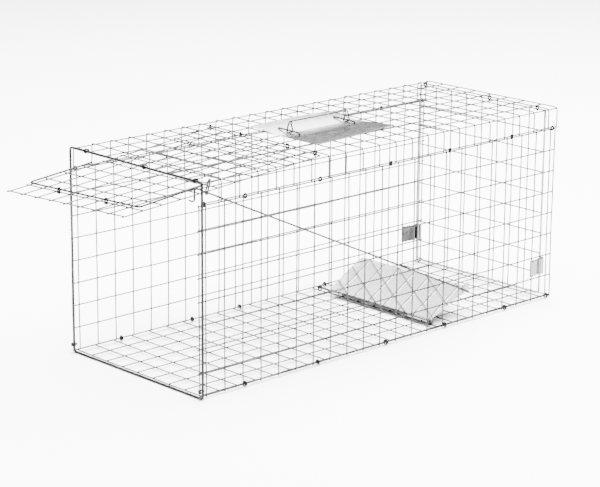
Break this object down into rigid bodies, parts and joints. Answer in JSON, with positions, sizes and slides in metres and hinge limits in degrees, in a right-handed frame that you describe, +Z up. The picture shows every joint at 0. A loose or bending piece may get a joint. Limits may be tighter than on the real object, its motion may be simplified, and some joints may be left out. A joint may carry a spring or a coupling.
{
  "type": "live catch trap",
  "caption": "Long welded-mesh cage trap with a drop door, lock bar, treadle with trigger rod, rear access wall and a guarded carrying handle.",
  "frame": {"origin": "middle of the bottom of the whole trap's box, in the plane it stands on, with the door set open", "axes": "+Z up; -Y towards the entrance, +Y towards the rear wall; +X towards the side that the trigger rod runs along"},
  "size_m": [0.3314, 0.9596, 0.3659],
  "materials": {
    "galvanised_wire": "bright galvanised wire",
    "galvanised_sheet": "galvanised sheet with a faint spangle",
    "hog_rings": "dull grey steel wire rings",
    "pivot_steel": "dark plain steel rod"
  },
  "bodies": {
    "cage": {"roof_panel": "galvanised_wire", "roof_flange_left": "galvanised_wire", "roof_flange_right": "galvanised_wire", "side_panel_left": "galvanised_wire", "side_panel_right": "galvanised_wire", "floor_panel": "galvanised_wire", "front_frame": "galvanised_wire", "roof_ring_right_1": "hog_rings", "roof_ring_right_2": "hog_rings", "roof_ring_right_3": "hog_rings", "roof_ring_right_4": "hog_rings", "roof_ring_right_5": "hog_rings", "roof_ring_right_6": "hog_rings", "roof_ring_right_7": "hog_rings", "roof_ring_left_1": "hog_rings", "roof_ring_left_2": "hog_rings", "roof_ring_left_3": "hog_rings", "roof_ring_left_4": "hog_rings", "roof_ring_left_5": "hog_rings", "roof_ring_left_6": "hog_rings", "floor_ring_right_1": "hog_rings", "floor_ring_right_2": "hog_rings", "floor_ring_right_3": "hog_rings", "floor_ring_right_4": "hog_rings", "floor_ring_right_5": "hog_rings", "floor_ring_right_6": "hog_rings", "floor_ring_left_1": "hog_rings", "floor_ring_left_2": "hog_rings", "floor_ring_left_3": "hog_rings", "floor_ring_left_4": "hog_rings", "floor_ring_left_5": "hog_rings", "frame_ring_top_1": "hog_rings", "frame_ring_top_2": "hog_rings", "frame_ring_top_3": "hog_rings", "frame_ring_bottom_left": "hog_rings", "frame_ring_bottom_right": "hog_rings", "door_hinge_ring_1": "hog_rings", "door_hinge_ring_2": "hog_rings", "door_hinge_ring_3": "hog_rings", "door_hinge_ring_4": "hog_rings", "rear_hinge_ring_1": "hog_rings", "rear_hinge_ring_2": "hog_rings", "rear_hinge_ring_3": "hog_rings", "rear_latch_left": "galvanised_sheet", "rear_latch_right": "galvanised_sheet", "treadle_pivot_rod": "pivot_steel", "pivot_ring_left": "hog_rings", "pivot_ring_right": "hog_rings", "trigger_rod_guide": "galvanised_wire", "handle_staple_front": "pivot_steel", "handle_staple_rear": "pivot_steel", "handle_guard_plate": "galvanised_sheet", "carry_handle": "galvanised_wire"},
    "door": {"door_panel": "galvanised_wire", "lock_bar_ring_left": "hog_rings", "lock_bar_ring_right": "hog_rings"},
    "lock_bar": {"door_lock_bar": "galvanised_wire"},
    "treadle": {"treadle_plate": "galvanised_sheet"},
    "trigger_rod": {"trigger_rod": "galvanised_wire"},
    "rear_wall": {"rear_wall": "galvanised_wire"}
  },
  "joints": [
    {"name": "door_hinge", "type": "hinge", "parent": "cage", "child": "door", "pos_m": [0, -0.06956, 0.339], "axis": [1, 0, 0], "range_deg": [0, 47.5]},
    {"name": "lock_bar_hinge", "type": "hinge", "parent": "door", "child": "lock_bar", "pos_m": [-0.00012, -0.43607, 0.31179], "axis": [0.9986, 0.0419, 0.031], "range_deg": [0, 100]},
    {"name": "treadle_hinge", "type": "hinge", "parent": "cage", "child": "treadle", "pos_m": [0, 0.19364, 0.0103], "axis": [1, 0, 0], "range_deg": [-17, 0]},
    {"name": "trigger_rod_pin", "type": "hinge", "parent": "treadle", "child": "trigger_rod", "pos_m": [0.1485, 0.27566, 0.04881], "axis": [1, 0, 0], "range_deg": [0, 15.5]},
    {"name": "rear_wall_hinge", "type": "hinge", "parent": "cage", "child": "rear_wall", "pos_m": [0, 0.45684, 0.339], "axis": [-1, 0, 0], "range_deg": [0, 87]}
  ],
  "couplings": [
    {"joint": "trigger_rod_pin", "follows": "treadle_hinge", "ratio": -0.9},
    {"joint": "lock_bar_hinge", "follows": "door_hinge", "ratio": 2.1}
  ]
}
